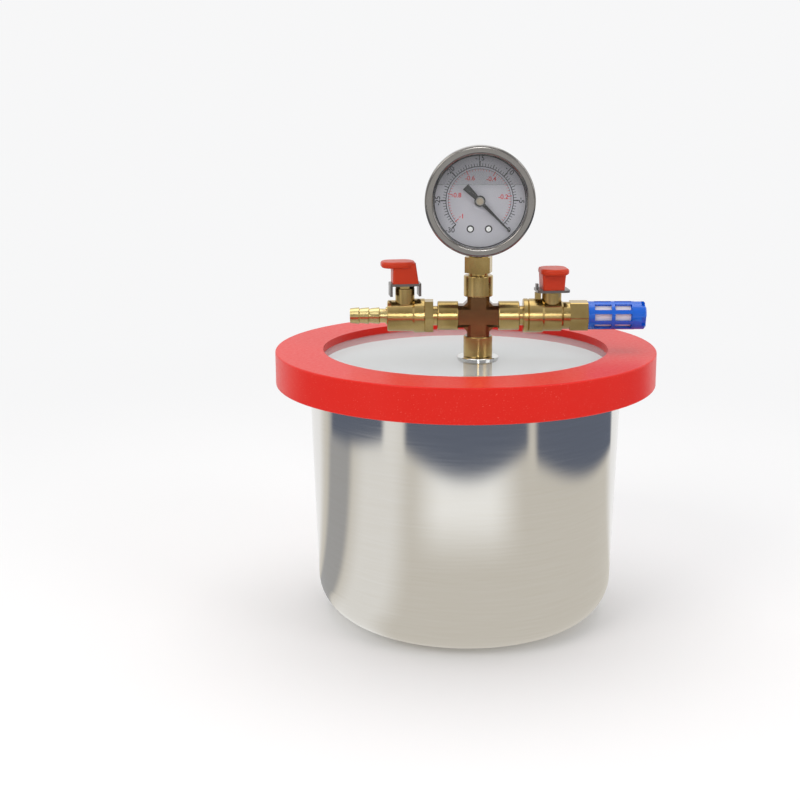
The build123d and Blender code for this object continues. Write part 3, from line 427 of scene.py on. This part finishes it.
def falling(nt, value, low, high):
    return map_range(nt, value, low, high, 1.0, 0.0, True)


def off_bearing(nt, bearing, centre):
    return math_node(nt, "ABSOLUTE", math_node(nt, "SUBTRACT", bearing, centre))


def dark_shape(nt, bearing, reach, centre, half, start, curve):
    off = math_node(nt, "SUBTRACT", bearing, centre)
    bend = math_node(nt, "MULTIPLY", math_node(nt, "MULTIPLY", off, off), curve)
    near = rising(nt, math_node(nt, "SUBTRACT", reach, bend), start, start + 0.06)
    side = falling(nt, math_node(nt, "ABSOLUTE", off), half - 0.06, half + 0.02)
    ahead = falling(nt, reach, 1.2, 1.6)
    return math_node(nt, "MULTIPLY", math_node(nt, "MULTIPLY", near, side), ahead)


def painted_room_reflection(nt, position, reach):
    """Painted reflection of a room for polished metal: a warm painted shadow near the pot, a painted
    bright patch in front, dark shapes beyond.
    """
    flat = nt.nodes.new("ShaderNodeSeparateXYZ")
    nt.links.new(position, flat.inputs["Vector"])
    toward_front = math_node(nt, "MULTIPLY", flat.outputs["Y"], -1.0)
    bearing = math_node(nt, "ARCTAN2", flat.outputs["X"], toward_front)
    in_front = falling(nt, off_bearing(nt, bearing, 0.0), 0.22, 0.70)
    bright = math_node(nt, "MULTIPLY", rising(nt, reach, 0.22, 0.36), in_front)
    pale = falling(nt, off_bearing(nt, bearing, -1.05), 0.15, 0.50)
    grey = falling(nt, off_bearing(nt, bearing, -1.72), 0.16, 0.30)
    rear = rising(nt, off_bearing(nt, bearing, 0.0), 2.0, 2.3)
    color = mix_color(nt, bright, ROOM_WARM, ROOM_BRIGHT)
    color = mix_color(nt, pale, color, ROOM_PALE)
    color = mix_color(nt, grey, color, ROOM_GREY)
    color = mix_color(nt, rear, color, ROOM_REAR)
    for centre, half, start, curve in DARK_SHAPES:
        color = mix_color(nt, dark_shape(nt, bearing, reach, centre, half, start, curve), color, ROOM_DARK)
    return color


def floor_material():
    """Matt white near the object, the backdrop's colour further out, and a painted reflection of a room
    that glows for glossy rays.
    """
    m, b = material("floor_white", (0.88, 0.88, 0.885), 0.0, 0.8, spec=0.1)
    nt = m.node_tree
    coord = nt.nodes.new("ShaderNodeTexCoord")
    length = nt.nodes.new("ShaderNodeVectorMath")
    length.operation = "LENGTH"
    nt.links.new(coord.outputs["Object"], length.inputs[0])
    reach = length.outputs["Value"]
    path = nt.nodes.new("ShaderNodeLightPath")
    far_and_seen = math_node(nt, "MULTIPLY", rising(nt, reach, 0.25, 1.0), seen_directly(nt, path))
    backdrop = glow(nt, "ShaderNodeEmission", BACKDROP)
    shown = mix_shader(nt, far_and_seen, b.outputs["BSDF"], backdrop)
    # For glossy rays the floor glows with a painted reflection of a room, with painted light and shadow in
    # it.
    room = glow(nt, "ShaderNodeEmission", painted_room_reflection(nt, coord.outputs["Object"], reach))
    surface = mix_shader(nt, path.outputs["Is Glossy Ray"], shown, room)
    nt.links.new(surface, nt.nodes["Material Output"].inputs["Surface"])
    return m


bpy.ops.mesh.primitive_plane_add(size=40, location=(0, 0, 0))
floor = bpy.context.object
floor.name = "floor"
floor.data.materials.append(floor_material())


# ---------------- world and lights ----------------

def studio_world():
    """Light that is weaker from the front, with the plain backdrop's colour where it is seen."""
    world = bpy.data.worlds.new("studio")
    scene.world = world
    world.use_nodes = True
    nt = world.node_tree
    light = nt.nodes["Background"]
    light.inputs["Color"].default_value = (1, 1, 1, 1)
    coord = nt.nodes.new("ShaderNodeTexCoord")
    split = nt.nodes.new("ShaderNodeSeparateXYZ")
    nt.links.new(coord.outputs["Generated"], split.inputs["Vector"])
    strength = map_range(nt, split.outputs["Y"], -1.0, 0.15, 0.28, 0.92)
    nt.links.new(strength, light.inputs["Strength"])
    backdrop = glow(nt, "ShaderNodeBackground", BACKDROP)
    path = nt.nodes.new("ShaderNodeLightPath")
    surface = mix_shader(nt, seen_directly(nt, path), light.outputs["Background"], backdrop)
    nt.links.new(surface, nt.nodes["World Output"].inputs["Surface"])


def area(name, location, target, size, size_y, power, color=(1, 1, 1)):
    li = bpy.data.lights.new(name, "AREA")
    li.shape = "RECTANGLE"
    li.size = size
    li.size_y = size_y
    li.energy = power
    li.color = color
    ob = bpy.data.objects.new(name, li)
    scene.collection.objects.link(ob)
    ob.location = location
    ob.rotation_euler = (Vector(target) - Vector(location)).to_track_quat("-Z", "Y").to_euler()


studio_world()
area("key", (-1.0, -1.1, 1.3), (0, 0, 0.15), 0.9, 0.9, 9, (1.0, 0.97, 0.93))
area("fill", (1.3, -0.9, 0.9), (0, 0, 0.15), 0.7, 1.0, 5)
area("top", (0.0, 0.3, 2.0), (0, 0, 0.1), 1.6, 1.4, 9)
area("front", (0.05, -2.2, 0.75), (0, 0, 0.12), 0.22, 0.6, 4)


# ---------------- camera ----------------

CAMERA_PLACE = (-22.25 * MM, -871.93 * MM, 345.91 * MM)
PITCH, PAN, ROLL = 0.2309, -0.0227, 0.0054
SENSOR_WIDTH = 36.0
FOCAL_LENGTH = 1.716675 * SENSOR_WIDTH


def photo_camera():
    """Camera at the photograph's viewing angle, level with the horizon before its small roll."""
    data = bpy.data.cameras.new("camera")
    data.sensor_width = SENSOR_WIDTH
    data.lens = FOCAL_LENGTH
    data.clip_start = 0.01
    cam = bpy.data.objects.new("camera", data)
    scene.collection.objects.link(cam)
    scene.camera = cam
    ahead = Vector((math.sin(PAN) * math.cos(PITCH), math.cos(PAN) * math.cos(PITCH), -math.sin(PITCH)))
    level = Vector((math.cos(PAN), -math.sin(PAN), 0))
    below = ahead.cross(level)
    right = level * math.cos(ROLL) + below * math.sin(ROLL)
    down = -level * math.sin(ROLL) + below * math.cos(ROLL)
    turned = Matrix((right, -down, -ahead)).transposed()
    cam.matrix_world = Matrix.Translation(CAMERA_PLACE) @ turned.to_4x4()


photo_camera()
